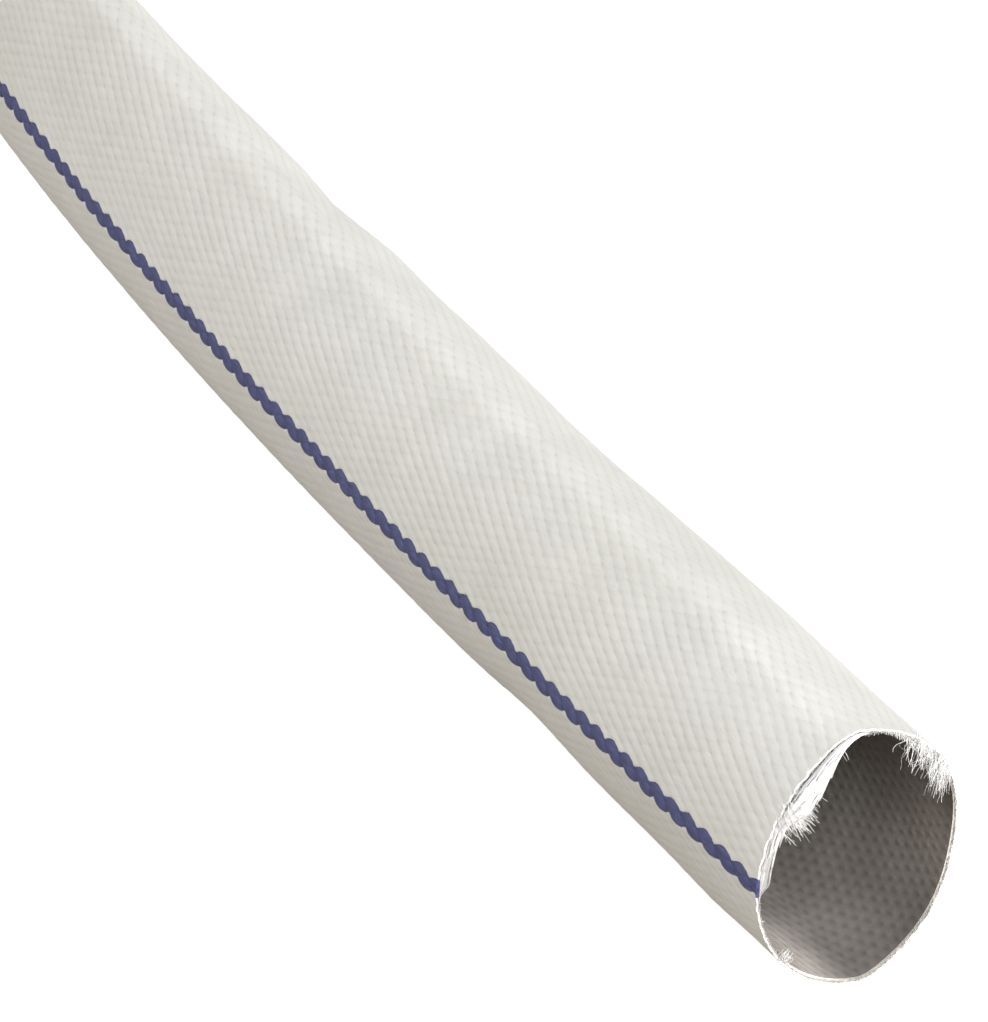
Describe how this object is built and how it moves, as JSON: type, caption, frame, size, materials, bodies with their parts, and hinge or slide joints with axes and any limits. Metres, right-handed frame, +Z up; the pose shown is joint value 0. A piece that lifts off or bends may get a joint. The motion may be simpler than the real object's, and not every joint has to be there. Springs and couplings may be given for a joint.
{
  "type": "fire hose",
  "caption": "Lay-flat woven fire hose with a coloured tracer, its raw-cut end gaping open and the rest wound in a flat roll held by nylon ties.",
  "frame": {"origin": "bottom centre of the whole object's box, on the surface that the hose stands on", "axes": "+X is the way the open mouth faces, and the object's length; +Y is the side that the roll lies on; +Z is up, along the roll's axis"},
  "size_m": [0.6164, 0.3658, 0.0689],
  "materials": {
    "woven_polyester": "undyed plain-woven polyester, matt, slightly warm white",
    "blue_yarn": "navy blue polyester warp yarn, matt",
    "lining_rubber": "thin grey-brown rubber film with the weave's imprint, satin",
    "nylon": "natural nylon, slightly translucent, satin"
  },
  "bodies": {
    "root": {"woven_jacket": "woven_polyester", "inner_lining": "lining_rubber", "tracer_yarns": "blue_yarn", "hose_roll": "woven_polyester", "cable_tie_1": "nylon", "cable_tie_2": "nylon", "cable_tie_3": "nylon"}
  },
  "joints": []
}
